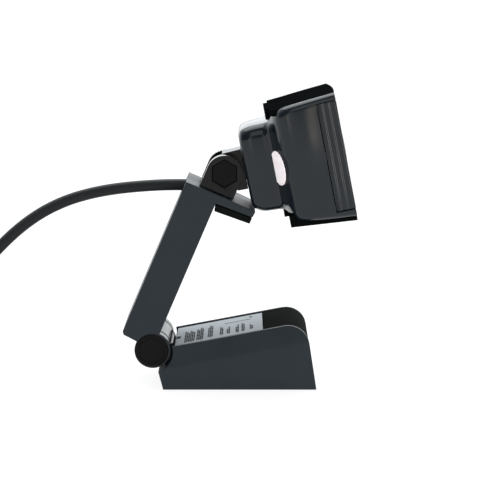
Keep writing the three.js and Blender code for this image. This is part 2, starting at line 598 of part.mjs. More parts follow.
// A round sticker on the sloping flare behind the near cheek, its rear edge against the housing's side.
function sticker() {
  const disc = new THREE.CylinderGeometry(5.6, 5.6, 0.25, 20);
  disc.rotateZ(rad(90 + FLARE_LEAN)).translate(17.2, -19.35, -0.9);
  return carve(disc, box([0, 30], [-16.2, 0], [-10, 10]));
}

// ---------------------------------------------------------------- cord, in the part's frame

const CORD_ROUTE = [
  [-19.9, 0, 65.7], [-26, 0, 65.6], [-34, 0, 65.1], [-42, 0, 64.2], [-50, -0.3, 62.7], [-58, -1.2, 60.3],
  [-66, -3.2, 56.5], [-73.5, -6.2, 51.2], [-80.5, -10, 44.5], [-87, -13.8, 37], [-93, -17, 29.6],
  [-99, -19.8, 23], [-105.5, -21.9, 17.9], [-112, -22.7, 14.8], [-117, -22.8, 13.8],
];
const TAIL_ROUTE = [
  [-137.7, 1.6, 13.9], [-137, 5.4, 14.8], [-134.4, 9, 15.5], [-131, 10.7, 15.8],
  [PLUG.tail - GAP, PLUG.y, PLUG.z],
];

function coil() {
  const inside = COIL.radius - COIL.band / 2;
  const outside = COIL.radius + COIL.band / 2;
  const cut = 1.2;
  const section = [
    [inside + cut, 0], [outside - cut, 0], [outside, cut], [outside, COIL.height - cut],
    [outside - cut, COIL.height], [inside + cut, COIL.height], [inside, COIL.height - cut], [inside, cut],
    [inside + cut, 0],
  ];
  const made = new THREE.LatheGeometry(section.map(([r, z]) => new THREE.Vector2(r, z)), 40);
  return made.rotateX(Math.PI / 2).translate(COIL.x, 0, 0);
}

// A strap over the coil, at the given angle round it.
function coilTie(angle) {
  const inside = COIL.radius - COIL.band / 2 - GAP;
  const outside = COIL.radius + COIL.band / 2 + GAP;
  const top = COIL.height + GAP;
  const over = box([inside - 0.8, outside + 0.8], [-2, 2], [0, top + 0.8]);
  const strap = carve(over, box([inside, outside], [-3, 3], [-PAST, top]));
  return strap.rotateZ(rad(angle)).translate(COIL.x, 0, 0);
}

function plugBody() {
  const { y, z } = PLUG;
  const grip = box([PLUG.back, PLUG.face], [y - 7.5, y + 7.5], [z - 4, z + 4]);
  const relief = rodX(3, PLUG.tail, PLUG.back + 1, [y, z], 12);
  const wide = 6 + GAP;
  const high = 2.25 + GAP;
  const socket = box([PLUG.face - 4, PLUG.face + PAST], [y - wide, y + wide], [z - high, z + high]);
  return carve(fuse(grip, relief), socket);
}

function plugShell() {
  const { y, z } = PLUG;
  const sleeve = box([PLUG.face - 3.7, PLUG.tip], [y - 6, y + 6], [z - 2.25, z + 2.25]);
  return carve(sleeve, box([PLUG.face, PLUG.tip + PAST], [y - 5.6, y + 5.6], [z - 1.85, z + 1.85]));
}

function cordParts() {
  place(part, "cord_tube", cordBlack, tube(CORD_ROUTE, CORD_RADIUS, 42));
  place(part, "cord_coil", cordBlack, coil());
  place(part, "cord_tail", cordBlack, tube(TAIL_ROUTE, CORD_RADIUS, 8));
  place(part, "cord_tie", matteBlack, coilTie(-25));
  place(part, "plug_body", matteBlack, plugBody());
  place(part, "plug_shell", steel, plugShell());
}

footParts();
armParts();
hingeHardware(arm, "fold", FOLD_STACK, -ARM_LEAN);
swivelParts();
headParts();
place(head, "round_sticker", whiteFilm, sticker());
cordParts();

export default part;
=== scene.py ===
"""The looks of a small webcam on a folding clip stand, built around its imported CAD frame.

Lengths in the piece builders are millimetres in the frame of the body that the piece belongs to:
the foot's and the cord's are the row frame, the arm's stands on the fold joint, the swivel's and the
head's on the tilt joint, with X forward and Z up along each.
"""

import json
import math

import bmesh
import bpy
from mathutils import Matrix, Vector


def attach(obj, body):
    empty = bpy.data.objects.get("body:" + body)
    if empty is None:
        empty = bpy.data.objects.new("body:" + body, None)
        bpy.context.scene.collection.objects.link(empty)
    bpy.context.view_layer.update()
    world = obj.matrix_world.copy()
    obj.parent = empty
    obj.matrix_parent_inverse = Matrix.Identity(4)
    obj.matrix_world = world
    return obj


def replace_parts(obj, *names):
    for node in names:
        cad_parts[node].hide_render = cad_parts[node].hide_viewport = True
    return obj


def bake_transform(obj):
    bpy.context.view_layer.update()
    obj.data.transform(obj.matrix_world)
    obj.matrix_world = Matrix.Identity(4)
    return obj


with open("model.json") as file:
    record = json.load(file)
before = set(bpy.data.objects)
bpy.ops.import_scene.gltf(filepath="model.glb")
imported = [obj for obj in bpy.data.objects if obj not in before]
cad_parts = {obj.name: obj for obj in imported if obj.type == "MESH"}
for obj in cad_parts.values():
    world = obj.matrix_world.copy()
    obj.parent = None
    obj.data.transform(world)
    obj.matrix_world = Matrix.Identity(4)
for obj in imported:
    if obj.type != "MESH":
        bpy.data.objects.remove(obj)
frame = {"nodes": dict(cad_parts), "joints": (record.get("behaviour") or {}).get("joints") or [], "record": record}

for stray in ("Cube", "Light", "Camera"):
    if stray in bpy.data.objects:
        bpy.data.objects.remove(bpy.data.objects[stray])
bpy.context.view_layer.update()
rad = math.radians
MM = 0.001

# ---------------------------------------------------------------- driving dimensions, in millimetres

CORD_RADIUS = 1.9
COIL = {"x": -115, "inner": 19.0, "middle": 22.8, "outer": 26.6, "low": 1.9, "centre": 5.7, "high": 9.5}
PLUG = {"y": 11, "z": 15.9, "tail": -127, "back": -119, "face": -98, "tip": -86.4}
HEAD_PITCH = 11.2
HEAD_LIFT = 0.5
HEAD_BACK = 6.5
HEAD_FRONT = 38.8
FRONT_BULGE = 0.8
CORE_HALF_WIDTH = 22
CORE_WALL = 1.6
CORE_REAR = 17.6
GAP = 0.3
SIDE_TRIM = {"rear": 32.8, "bottom": -17.4, "top": 17}
BARREL_RADIUS = 6
CLEVIS_RADIUS = 5.9
# A case screw's measures: the head's radius and thickness, the shaft's radius and length.
CASE_SCREW = (2.2, 0.8, 0.8, 5.6)
HEAD_SEAM = 30  # degrees between faces beyond which the head's shell shows an edge

# ---------------------------------------------------------------- frames

joint = {j["name"]: j for j in frame["joints"]}
fold_at = Vector(joint["fold"]["pos_m"])
tilt_at = Vector(joint["tilt"]["pos_m"])
arm_up = Vector(joint["pan"]["axis"])
arm_lean = math.atan2(arm_up.x, arm_up.z)


def stands_at(place, lean):
    """The frame, in millimetres, of a body that stands at a place and leans forward by an angle."""
    return Matrix.Translation(place) @ Matrix.Rotation(lean, 4, "Y") @ Matrix.Scale(MM, 4)


FRAMES = {
    "foot": stands_at(Vector(), 0),
    "arm": stands_at(fold_at, arm_lean),
    "swivel": stands_at(tilt_at, arm_lean),
    "head": stands_at(tilt_at + arm_up * HEAD_LIFT * MM, -rad(HEAD_PITCH)),
    # Two that stand on the joints but keep the row frame's directions, for the hinge caps.
    "fold_upright": stands_at(fold_at, 0),
    "tilt_upright": stands_at(tilt_at, 0),
}

# ---------------------------------------------------------------- camera

CAMERA = {"place": (0.00058, -0.4928, 0.1311), "down": 9.75, "lens": 111.6}
camera = bpy.data.objects.new("camera", bpy.data.cameras.new("camera"))
bpy.context.scene.collection.objects.link(camera)
camera.location = CAMERA["place"]
camera.rotation_euler = (rad(90 - CAMERA["down"]), 0, 0)
camera.data.lens = CAMERA["lens"]
camera.data.sensor_width = 36
camera.data.dof.use_dof = False
bpy.context.scene.camera = camera

# ---------------------------------------------------------------- materials


def socket_set(shader, values):
    """Sets a shader's sockets to plain values."""
    for name, value in values.items():
        shader.inputs[name].default_value = value


def linked_noise(tree, coords, scale, detail=3.0, stretch=(1, 1, 1)):
    """Noise in the object's own coordinates."""
    mapping = tree.nodes.new("ShaderNodeMapping")
    mapping.inputs["Scale"].default_value = stretch
    noise = tree.nodes.new("ShaderNodeTexNoise")
    noise.inputs["Scale"].default_value = scale
    noise.inputs["Detail"].default_value = detail
    tree.links.new(coords.outputs["Object"], mapping.inputs["Vector"])
    tree.links.new(mapping.outputs["Vector"], noise.inputs["Vector"])
    return noise.outputs["Fac"]


def ranged(tree, value, low, high, start=0.3, end=0.7):
    """A value from start to end brought to the range from low to high."""
    scaled = tree.nodes.new("ShaderNodeMapRange")
    scaled.inputs["From Min"].default_value = start
    scaled.inputs["From Max"].default_value = end
    scaled.inputs["To Min"].default_value = low
    scaled.inputs["To Max"].default_value = high
    tree.links.new(value, scaled.inputs["Value"])
    return scaled.outputs["Result"]


def between(tree, value, dark, light, start=0.3, end=0.7):
    """A colour from dark to light as the value goes from start to end."""
    ramp = tree.nodes.new("ShaderNodeValToRGB")
    ramp.color_ramp.elements[0].position = start
    ramp.color_ramp.elements[1].position = end
    ramp.color_ramp.elements[0].color = (*dark, 1)
    ramp.color_ramp.elements[1].color = (*light, 1)
    tree.links.new(value, ramp.inputs["Fac"])
    return ramp.outputs["Color"]


def surface(name, dark, light, rough, grain, depth, broad=70, stretch=(1, 1, 1), **sockets):
    """A moulded, rolled or printed surface: colour that drifts from dark to light, roughness in a range,
    and a fine grain of the given scale and depth in millimetres."""
    made = bpy.data.materials.new(name)
    made.use_nodes = True
    tree = made.node_tree
    shader = tree.nodes["Principled BSDF"]
    coords = tree.nodes.new("ShaderNodeTexCoord")
    drift = linked_noise(tree, coords, broad, 4)
    fine = linked_noise(tree, coords, grain, 2, stretch)
    tree.links.new(between(tree, drift, dark, light), shader.inputs["Base Color"])
    tree.links.new(ranged(tree, drift, *rough), shader.inputs["Roughness"])
    bump = tree.nodes.new("ShaderNodeBump")
    bump.inputs["Strength"].default_value = 0.6
    bump.inputs["Distance"].default_value = depth * MM
    tree.links.new(fine, bump.inputs["Height"])
    tree.links.new(bump.outputs["Normal"], shader.inputs["Normal"])
    socket_set(shader, {k.replace("_", " "): v for k, v in sockets.items()})
    return made


SATIN = surface(
    "satin_grey", (0.0112, 0.0185, 0.0252), (0.0158, 0.0242, 0.0318), (0.34, 0.44), 3200, 0.03,
    Specular_IOR_Level=0.27,
)
GLOSS = surface(
    "gloss_grey", (0.0046, 0.0088, 0.0132), (0.0070, 0.0118, 0.0168), (0.12, 0.17), 1500, 0.003,
    Specular_IOR_Level=0.36,
)
MATTE = surface(
    "matte_black", (0.0022, 0.0025, 0.0024), (0.0036, 0.0040, 0.0038), (0.40, 0.50), 3600, 0.03,
    Specular_IOR_Level=0.12,
)
SLEEK = surface(
    "sleek_black", (0.0010, 0.0012, 0.0012), (0.0018, 0.0021, 0.0020), (0.16, 0.22), 2600, 0.006,
    Specular_IOR_Level=0.24,
)
DULL = surface(
    "dull_black", (0.0034, 0.0040, 0.0043), (0.0052, 0.0059, 0.0062), (0.75, 0.9), 3600, 0.03,
    Specular_IOR_Level=0.0,
)
POLISHED = surface(
    "gloss_black", (0.004, 0.004, 0.005), (0.006, 0.006, 0.007), (0.08, 0.13), 1200, 0.002,
    Specular_IOR_Level=0.5,
)
RUBBER = surface(
    "rubber", (0.0060, 0.0066, 0.0066), (0.0090, 0.0098, 0.0098), (0.72, 0.86), 2600, 0.05,
    Specular_IOR_Level=0.01,
)
STEEL = surface(
    "steel", (0.46, 0.46, 0.47), (0.62, 0.62, 0.62), (0.24, 0.38), 1400, 0.01, stretch=(1, 8, 8),
    Metallic=1.0,
)
SILVER_FILM = surface(
    "silver_film", (0.25, 0.29, 0.325), (0.33, 0.375, 0.415), (0.42, 0.52), 900, 0.006,
)
INK = surface(
    "ink", (0.010, 0.013, 0.016), (0.05, 0.055, 0.06), (0.6, 0.7), 900, 0.004, broad=500,
    Specular_IOR_Level=0.03,
)
# The sticker's film glows a little by itself: painted light that makes it brighter than the lamps alone would.
WHITE_FILM_PAINTED_GLOW = surface(
    "white_film", (0.90, 0.76, 0.80), (0.99, 0.98, 0.99), (0.38, 0.5), 800, 0.006, broad=620,
    Emission_Color=(1.0, 0.95, 0.97, 1), Emission_Strength=0.27,
)
NYLON = surface("white_nylon", (0.66, 0.64, 0.6), (0.74, 0.72, 0.68), (0.4, 0.5), 1500, 0.01)
GLASS = surface(
    "lens_glass", (0.004, 0.005, 0.010), (0.006, 0.008, 0.014), (0.02, 0.04), 300, 0.0005,
    Specular_IOR_Level=0.7, Coat_Weight=1.0, Coat_Roughness=0.02, Coat_Tint=(0.72, 0.62, 1.0, 1.0),
)
BOARD = surface(
    "circuit_board", (0.006, 0.045, 0.020), (0.012, 0.075, 0.034), (0.3, 0.42), 700, 0.02, broad=420,
)
CORD = surface(
    "cord_pvc", (0.0055, 0.0080, 0.0095), (0.0080, 0.0110, 0.0130), (0.42, 0.52), 2400, 0.02,
    Specular_IOR_Level=0.25,
)
GOLD = surface("contact_gold", (0.72, 0.47, 0.16), (0.86, 0.6, 0.24), (0.2, 0.3), 1500, 0.004, Metallic=1.0)

# ---------------------------------------------------------------- mesh helpers


def arc(centre, radius, start, end, steps):
    angles = [rad(start + (end - start) * i / steps) for i in range(steps + 1)]
    return [(centre[0] + radius * math.cos(a), centre[1] + radius * math.sin(a)) for a in angles]


def rounded_rectangle(half_wide, half_high, radius, steps=8):
    w, h = half_wide - radius, half_high - radius
    corners = ((w, h, 0), (-w, h, 90), (-w, -h, 180), (w, -h, 270))
    return [p for x, y, a in corners for p in arc((x, y), radius, a, a + 90, steps)]


def mesh_of(rings, closed=False):
    """A closed solid through rings of as many points each, capped at both ends unless closed on itself."""
    made = bmesh.new()
    verts = [[made.verts.new(p) for p in ring] for ring in rings]
    pairs = list(zip(verts, verts[1:] + verts[:1])) if closed else list(zip(verts, verts[1:]))
    for a, b in pairs:
        for i in range(len(a)):
            j = (i + 1) % len(a)
            made.faces.new((a[i], a[j], b[j], b[i]))
    if not closed:
        made.faces.new(list(reversed(verts[0])))
        made.faces.new(verts[-1])
    bmesh.ops.recalc_face_normals(made, faces=made.faces)
    return made


def prism(outline, low, high, axis):
    """An outline carried along an axis: (x, z) points along y, (x, y) along z, (y, z) along x."""
    order = {"x": lambda p, q, t: (t, p, q), "y": lambda p, q, t: (p, t, q), "z": lambda p, q, t: (p, q, t)}
    return mesh_of([[order[axis](p, q, t) for p, q in outline] for t in (low, high)])


def block(x, y, z):
    return prism([(x[0], y[0]), (x[1], y[0]), (x[1], y[1]), (x[0], y[1])], *z, "z")


def turned(profile, axis, centre=(0, 0), steps=56):
    """A closed profile of (along, radius) turned about an axis through centre. Its radii stay above 0."""
    rings = []
    for k in range(steps):
        c, s = math.cos(2 * math.pi * k / steps), math.sin(2 * math.pi * k / steps)
        spin = {
            "x": lambda t, r: (t, centre[0] + r * c, centre[1] + r * s),
            "y": lambda t, r: (centre[0] + r * c, t, centre[1] + r * s),
            "z": lambda t, r: (centre[0] + r * c, centre[1] + r * s, t),
        }[axis]
        rings.append([spin(t, r) for t, r in profile])
    return mesh_of(rings, closed=True)


def disc(profile, axis, centre=(0, 0), steps=56):
    """An open profile of (along, radius) turned about an axis and closed by flat ends."""
    rings = []
    for t, r in profile:
        ring = []
        for k in range(steps):
            p = centre[0] + r * math.cos(2 * math.pi * k / steps)
            q = centre[1] + r * math.sin(2 * math.pi * k / steps)
            ring.append({"x": (t, p, q), "y": (p, t, q), "z": (p, q, t)}[axis])
        rings.append(ring)
    return mesh_of(rings)


def piece(name, made, body, material, where=None, smooth=35):
    """An object from a bmesh in the given body's own frame, riding on that body."""
    mesh = bpy.data.meshes.new(name)
    made.transform(FRAMES[where or body])
    made.to_mesh(mesh)
    made.free()
    return placed(name, mesh, body, material, smooth)


def placed(name, mesh, body, material, smooth=35):
    shaped = bpy.data.objects.new(name, mesh)
    bpy.context.scene.collection.objects.link(shaped)
    mesh.materials.clear()
    mesh.materials.append(material)
    mesh.shade_smooth()
    mesh.set_sharp_from_angle(angle=rad(smooth))
    if body:
        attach(shaped, body)
    return shaped


def rounding(shaped, width, segments=3, limit=35):
    """Rounds the edges sharper than limit degrees."""
    edges = shaped.modifiers.new("rounded_edges", "BEVEL")
    edges.width = width * MM
    edges.segments = segments
    edges.limit_method = "ANGLE"
    edges.angle_limit = rad(limit)
    edges.harden_normals = True
    return shaped


def settle(shaped):
    """Makes what the modifiers show the object's own mesh."""
    graph = bpy.context.evaluated_depsgraph_get()
    made = bpy.data.meshes.new_from_object(shaped.evaluated_get(graph))
    shaped.modifiers.clear()
    shaped.data = made


def carve(shaped, where, *tools):
    """Cuts bmesh tools, given in the frame of body where, out of an object."""
    cutters = []
    for tool in tools:
        mesh = bpy.data.meshes.new("cutter")
        tool.transform(FRAMES[where])
        tool.to_mesh(mesh)
        tool.free()
        cutter = bpy.data.objects.new("cutter", mesh)
        bpy.context.scene.collection.objects.link(cutter)
        cutting = shaped.modifiers.new("cut", "BOOLEAN")
        cutting.operation = "DIFFERENCE"
        cutting.solver = "EXACT"
        cutting.object = cutter
        cutters.append(cutter)
    settle(shaped)
    for cutter in cutters:
        bpy.data.objects.remove(cutter)


def from_cad(node, body, material, width, segments=3, limit=35, smooth=35):
    """A piece with a CAD node's shape, its faces made whole and its edges rounded."""
    mesh = frame["nodes"][node].data.copy()
    made = bmesh.new()
    made.from_mesh(mesh)
    bmesh.ops.remove_doubles(made, verts=made.verts, dist=0.002 * MM)
    bmesh.ops.dissolve_limit(made, angle_limit=rad(0.6), verts=made.verts, edges=made.edges)
    made.to_mesh(mesh)
    made.free()
    shaped = placed(node + "_finished", mesh, body, material, smooth)
    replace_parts(shaped, node)
    return rounding(shaped, width, segments, limit) if width else shaped


def second_finish_or_painted_highlight(shaped, material, chosen):
    """Gives the faces for which chosen(face) holds another material."""
    shaped.data.materials.append(material)
    for face in shaped.data.polygons:
        face.material_index = int(chosen(face))


def on_barrel(face):
    """Whether a face lies on the round of the fold hinge's barrel."""
    away = face.center - fold_at
    return math.hypot(away.x, away.z) < (BARREL_RADIUS + 0.3) * MM and abs(face.normal.y) < 0.5


def painted_highlight_on_clevis_top(face):
    """Whether a face lies on the rounded upper edge of the clevis's ears, which gets a lighter, glossier black: a
    painted highlight.
    """
    away = face.center - tilt_at
    outside = math.hypot(away.x, away.z) > (CLEVIS_RADIUS - 0.2) * MM
    return outside and abs(face.normal.y) < 0.5 and face.normal.z > 0.1


# ---------------------------------------------------------------- cord

# The stretch from the arm's rear face to the coil, as in the CAD model.
CORD_ROUTE = [
    (-19.9, 0, 65.7), (-26, 0, 65.6), (-34, 0, 65.1), (-42, 0, 64.2), (-50, -0.3, 62.7), (-58, -1.2, 60.3),
    (-66, -3.2, 56.5), (-73.5, -6.2, 51.2), (-80.5, -10, 44.5), (-87, -13.8, 37), (-93, -17, 29.6),
    (-99, -19.8, 23), (-105.5, -21.9, 17.9), (-112, -22.7, 14.8), (-117, -22.8, 13.8),
]
INSIDE_ARM = (-15.8, 0, 65.6)  # where the cord starts, inside the grommet
# The stretch from the coil's left side into the plug.
TAIL_ROUTE = [(-137, 5.4, 14.8), (-134.4, 9, 15.5), (-131, 10.7, 15.8), (-127.3, 11, 15.9), (-122, 11, 15.9)]
# The places that the coil's turns fill one after another, as (radius, height).
TURNS = [
    (COIL["middle"], COIL["high"]), (COIL["outer"], COIL["high"]), (COIL["outer"], COIL["centre"]),
    (COIL["outer"], COIL["low"]), (COIL["middle"], COIL["low"]), (COIL["inner"], COIL["low"]),
    (COIL["inner"], COIL["centre"]), (COIL["middle"], COIL["centre"]), (COIL["inner"], COIL["high"]),
]
COIL_STEP = 10  # degrees between the coil's points
CROSSING = (20, 80)  # where each turn moves over into the next place, in degrees before the right side
LANDING = (95, 155)  # where the arriving cord comes down into the first place
TOP_OF_COIL = 13.8
# Past the last turn, in degrees from the right side: where the cord rises, where it moves over to the
# middle, and where it leaves the coil for the plug.
RISING = (50, 135)
MOVING_IN = (120, 178)
LEAVING = 172
LEAVING_HEIGHT = 13.9
CORD_STEP = 1.6  # between the cord's rings


def eased(at, start, end):
    """A smooth rise from 0 at start to 1 at end."""
    t = min(1.0, max(0.0, (at - start) / (end - start)))
    return t * t * (3 - 2 * t)


def coil_points():
    """The coil's centreline, clockwise from above: it lands on the near side and leaves on the left."""
    last = 360 * len(TURNS) + LEAVING
    points = []
    for degrees in range(LANDING[0] + COIL_STEP, last, COIL_STEP):
        turn = int((degrees - CROSSING[0]) // 360)
        here = TURNS[min(turn, len(TURNS) - 1)] if turn >= 0 else TURNS[0]
        before = TURNS[max(0, min(turn - 1, len(TURNS) - 1))]
        moved = eased(degrees - 360 * turn, *CROSSING)
        radius = before[0] + (here[0] - before[0]) * moved
        height = before[1] + (here[1] - before[1]) * moved
        height += (TOP_OF_COIL - height) * (1 - eased(degrees, *LANDING))
        past = degrees - 360 * len(TURNS)
        height += (LEAVING_HEIGHT - height) * eased(past, *RISING)
        radius += (COIL["middle"] - radius) * eased(past, *MOVING_IN)
        angle = -rad(degrees)
        points.append((COIL["x"] + radius * math.cos(angle), radius * math.sin(angle), height))
    return points


def smooth_line(points, step):
    """The centripetal curve through points, as points about step apart."""
    v = [Vector(p) for p in points]
    v = [2 * v[0] - v[1], *v, 2 * v[-1] - v[-2]]
    line = []
    for a, b, c, d in zip(v, v[1:], v[2:], v[3:]):
        t0 = 0
        t1 = t0 + (b - a).length ** 0.5
        t2 = t1 + (c - b).length ** 0.5
        t3 = t2 + (d - c).length ** 0.5
        count = max(1, round((c - b).length / step))
        for k in range(count):
            t = t1 + (t2 - t1) * k / count
            p = a * ((t1 - t) / (t1 - t0)) + b * ((t - t0) / (t1 - t0))
            q = b * ((t2 - t) / (t2 - t1)) + c * ((t - t1) / (t2 - t1))
            r = c * ((t3 - t) / (t3 - t2)) + d * ((t - t2) / (t3 - t2))
            s = p * ((t2 - t) / (t2 - t0)) + q * ((t - t0) / (t2 - t0))
            u = q * ((t3 - t) / (t3 - t1)) + r * ((t - t1) / (t3 - t1))
            line.append(s * ((t2 - t) / (t2 - t1)) + u * ((t - t1) / (t2 - t1)))
    line.append(v[-2])
    return line


def tube(line, radius, sides=14):
    """A tube along a line with rings that don't twist, closed at both ends."""
    rings = []
    across = Vector((0, 0, 1))
    for i, p in enumerate(line):
        ahead = (line[min(i + 1, len(line) - 1)] - line[max(i - 1, 0)]).normalized()
        across = (across - ahead * across.dot(ahead)).normalized()
        other = ahead.cross(across)
        angles = [2 * math.pi * k / sides for k in range(sides)]
        rings.append([p + (across * math.cos(a) + other * math.sin(a)) * radius for a in angles])
    return mesh_of(rings)


cord_line = smooth_line([INSIDE_ARM, *CORD_ROUTE, *coil_points(), *TAIL_ROUTE], CORD_STEP)
cord = piece("cord", tube(cord_line, CORD_RADIUS), None, CORD, where="foot", smooth=60)
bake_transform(cord)
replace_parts(cord, "cord_tube", "cord_coil", "cord_tail")


def coil_tie():
    """A strap round the coil's turns."""
    turn = Matrix.Translation((COIL["x"], 0, 0)) @ Matrix.Rotation(rad(-25), 4, "Z")
    middle, centre = (COIL["inner"] + COIL["outer"]) / 2, 5.85
    half_wide, half_high, half_strap = 6.5, 5.9, 1.9
    outer = [(middle + p, centre + q) for p, q in rounded_rectangle(half_wide, half_high, 2.4)]
    inner = [(middle + p, centre + q) for p, q in rounded_rectangle(half_wide - 0.7, half_high - 0.55, 1.8)]
    sides = ((-half_strap, outer), (half_strap, outer), (half_strap, inner), (-half_strap, inner))
    strap = mesh_of([[(x, y, z) for x, z in side] for y, side in sides], closed=True)
    strap.transform(turn)
    made = piece("coil_tie", strap, "foot", MATTE)
    return rounding(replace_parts(made, "cord_tie"), 0.12, 2)


def plug_grip():
    """The moulded grip with ribbed sides, and the strain relief with its ring slots."""
    y, z, tail, back, face = (PLUG[name] for name in ("y", "z", "tail", "back", "face"))
    # (x, half width, half height, corner radius)
    sections = [
        (back, 5.6, 3.0, 1.8), (back + 0.8, 6.5, 3.5, 2.0), (back + 2.4, 7.2, 3.9, 2.0),
        (back + 6, 7.45, 4.0, 1.9), (face - 3, 7.5, 4.0, 1.8), (face - 0.5, 7.4, 3.95, 1.7),
        (face, 7.0, 3.6, 1.4),
    ]
    rings = [[(x, y + p, z + q) for p, q in rounded_rectangle(w, h, r)] for x, w, h, r in sections]
    grip = piece("plug_grip", mesh_of(rings), "foot", MATTE, smooth=40)
    grooves = [
        block((x, x + 0.8), (y + side * 7.5 - 0.5, y + side * 7.5 + 0.5), (z - 2.4, z + 2.4))
        for x in (-112.5, -110.7, -108.9, -107.1, -105.3) for side in (-1, 1)
    ]
    socket = block((face - 4, face + 1), (y - 6.2, y + 6.2), (z - 2.45, z + 2.45))
    carve(grip, "foot", socket, *grooves)
    rounding(grip, 0.12, 2, 50)
    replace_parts(grip, "plug_body")
    profile = [(tail, 2.15), (tail + 0.3, 2.4)]
    for k in range(5):
        start = tail + 0.9 + 1.35 * k
        radius = 2.5 + 0.09 * k
        low = radius - 0.35
        profile += [(start, radius), (start + 0.15, low), (start + 0.5, low), (start + 0.65, radius)]
    profile += [(back - 0.3, 3.0), (back + 0.6, 3.0)]
    relief = piece("plug_relief", disc(profile, "x", (y, z), 40), "foot", MATTE, smooth=25)
    return grip, relief


def plug_metal():
    """The folded metal sleeve with its two windows, the tongue inside and its contacts."""
    y, z, face, tip = PLUG["y"], PLUG["z"], PLUG["face"], PLUG["tip"]
    outer = [(y + p, z + q) for p, q in rounded_rectangle(6.0, 2.25, 0.5, 4)]
    inner = [(y + p, z + q) for p, q in rounded_rectangle(5.65, 1.9, 0.3, 4)]
    root = face - 3.7
    ends = ((root, outer), (tip, outer), (tip, inner), (root, inner))
    rings = [[(x, p, q) for p, q in side] for x, side in ends]
    sleeve = piece("plug_sleeve", mesh_of(rings, closed=True), "foot", STEEL)
    windows = [
        block((tip - 6.4, tip - 4.2), (y + k * 2.7 - 1.1, y + k * 2.7 + 1.1), (z - 4, z + 4)) for k in (-1, 1)
    ]
    carve(sleeve, "foot", *windows)
    rounding(sleeve, 0.07, 2)
    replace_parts(sleeve, "plug_shell")
    tongue = piece(
        "plug_tongue", block((face - 3.6, tip - 0.5), (y - 5.55, y + 5.55), (z - 1.75, z + 0.1)), "foot",
        NYLON,
    )
    rounding(tongue, 0.1, 2)
    pads = bmesh.new()
    for k, inset in zip((-3.5, -1.2, 1.2, 3.5), (1.2, 2.2, 2.2, 1.2)):
        pad = block((face + 1, tip - inset), (y + k - 0.55, y + k + 0.55), (z + 0.05, z + 0.22))
        mesh = bpy.data.meshes.new("pad")
        pad.to_mesh(mesh)
        pads.from_mesh(mesh)
        pad.free()
    contacts = piece("plug_contacts", pads, "foot", GOLD)
    return sleeve, tongue, rounding(contacts, 0.04, 1)


tie = coil_tie()
grip, relief = plug_grip()
sleeve, plug_tongue, contacts = plug_metal()

# ---------------------------------------------------------------- screws and hinge caps


def screw(node, body, place, direction, radius, thick, shaft_radius, shaft):
    """A pan-head screw with a cross recess: its head's face is at place, its shaft runs along direction."""
    dome = [
        (0, radius * 0.55), (0.06 * thick, radius * 0.78), (0.22 * thick, radius * 0.93),
        (0.5 * thick, radius), (thick, radius), (thick, shaft_radius),
    ]
    thread = []
    for k in range(int(shaft / 0.5) - 1):
        start = thick + 0.3 + 0.5 * k
        thread += [(start, shaft_radius), (start + 0.25, shaft_radius * 0.8)]
    tip = [(thick + shaft - 0.3, shaft_radius * 0.8), (thick + shaft, shaft_radius * 0.35)]
    aim = Vector(direction).to_track_quat("Z", "Y").to_matrix().to_4x4()
    stand = Matrix.Translation(place) @ aim
    whole = disc([*dome, *thread, *tip], "z", steps=32)
    whole.transform(stand)
    made = piece(node + "_finished", whole, body, STEEL, smooth=30)
    arms = []
    for wide, long in ((0.16, 0.6), (0.6, 0.16)):
        arm = block((-radius * wide, radius * wide), (-radius * long, radius * long), (-1, thick * 0.55))
        arm.transform(stand)
        arms.append(arm)
    carve(made, body, *arms)
    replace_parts(made, node)


def hexagon(x, along, radius):
    """The corners, one of them on top, of a hexagon that faces along y."""
    corners = [rad(90 + 60 * k) for k in range(6)]
    return [(x + radius * math.cos(a), along, radius * math.sin(a)) for a in corners]


def hex_cap(node, body, where, side, profile):
    """A hexagonal cap let into the hinge's ear, its profile given as (along, corner radius)."""
    rings = [hexagon(0, side * along, radius) for along, radius in profile]
    cap = piece(node + "_finished", mesh_of(rings), body, MATTE, where=where)
    rounding(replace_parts(cap, node), 0.07, 2, 20)


def round_cap(node, body, where, side, face):
    """The barrel's end cap: a round flange over the face of its ear, with a hexagonal groove cut in it."""
    x = -0.25
    profile = [
        (-0.9, 3.6), (0.02, 3.6), (0.02, 5.35), (0.12, 5.5), (0.24, 5.35), (0.3, 5.05), (0.3, 0.4),
    ]
    flange = disc([(side * (face + t), r) for t, r in profile], "y", (x, 0), 64)
    cap = piece(node + "_finished", flange, body, MATTE, where=where, smooth=40)
    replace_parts(cap, node)
    low, high, inner, outer = face + 0.1, face + 1, 4.35, 4.7
    corners = ((low, outer), (high, outer), (high, inner), (low, inner))
    groove = [hexagon(x, side * along, radius) for along, radius in corners]
    carve(cap, where, mesh_of(groove, closed=True))
    rounding(cap, 0.05, 2, 40)


FOLD_EAR_FACE = 13
TILT_CAP = [(8.9, 4.4), (9.68, 4.6), (9.9, 4.35), (9.92, 0.4)]
for side, end in ((-1, "near"), (1, "far")):
    round_cap(f"fold_cap_{end}", "arm", "fold_upright", side, FOLD_EAR_FACE)
    hex_cap(f"tilt_cap_{end}", "swivel", "tilt_upright", side, TILT_CAP)

# ---------------------------------------------------------------- foot

# The foot's sloping top: its slope in degrees, and the (x, z) of its rear end, where the label starts.
TOP_SLOPE = 10.8
TOP_START = (-21.4, 14.3)
LABEL_NEAR = -13.3
# Blocks of print on the label, from its rear near corner: (start along, end along, start across, end across).
PRINT = [
    (2.9, 6.2, 1.4, 17.0), (7.0, 9.3, 1.6, 19.0), (10.8, 12.9, 2.8, 19.6), (14.9, 16.4, 3.0, 14.2),
    (17.2, 18.4, 3.0, 12.8), (20.2, 21.4, 2.4, 13.4), (22.2, 23.6, 2.4, 15.6), (25.0, 26.2, 3.4, 11.6),
]
PRINT_ROW, PRINT_WIDTH, PRINT_GAP = 0.6, 0.5, 0.3  # from row to row, a bar's width, and between a row's bars


